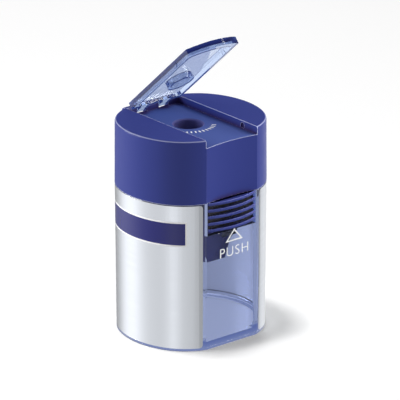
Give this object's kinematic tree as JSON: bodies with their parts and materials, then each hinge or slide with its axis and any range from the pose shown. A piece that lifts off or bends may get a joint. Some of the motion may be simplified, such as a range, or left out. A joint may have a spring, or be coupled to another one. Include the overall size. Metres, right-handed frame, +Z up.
{
  "type": "pencil sharpener with shavings tub",
  "caption": "Hand-held pencil sharpener: clear windowed tub for shavings, dark lift-off head with a metal wedge inside, hinged lid over the pencil hole, and a ribbed press pad.",
  "frame": {"origin": "middle of the flat underside, midway between the two round sides and between the front and back windows", "axes": "+Z up, -Y the front with the press pad and the window, +X to the right seen from the front"},
  "size_m": [0.042, 0.0381, 0.0861],
  "materials": {
    "clear_plastic": "clear blue tinted moulded polystyrene",
    "foil": "satin metallised film",
    "blue_plastic": "dark blue moulded, satin gloss",
    "wedge_metal": "milled magnesium alloy",
    "blade_steel": "ground steel"
  },
  "bodies": {
    "tub_body": {"tub": "clear_plastic", "foil_panel_left": "foil", "foil_panel_right": "foil"},
    "head_body": {"head": "blue_plastic", "sharpener_carrier": "blue_plastic", "sharpener_wedge": "wedge_metal", "blade": "blade_steel", "blade_screw": "blade_steel"},
    "pad_body": {"press_pad": "blue_plastic"},
    "lid_body": {"lid": "clear_plastic"}
  },
  "joints": [
    {"name": "head_lift", "type": "slide", "parent": "tub_body", "child": "head_body", "axis": [0, 0, 1], "range_m": [0, 0.024]},
    {"name": "press_latch", "type": "hinge", "parent": "head_body", "child": "pad_body", "pos_m": [0, -0.01375, 0.0479], "axis": [1, 0, 0], "range_deg": [0, 4.5], "stiffness_Nm_per_rad": 0.4},
    {"name": "lid_hinge", "type": "hinge", "parent": "head_body", "child": "lid_body", "pos_m": [0, 0.0176, 0.06005], "axis": [-1, 0, 0], "range_deg": [-41.5, 70]}
  ]
}
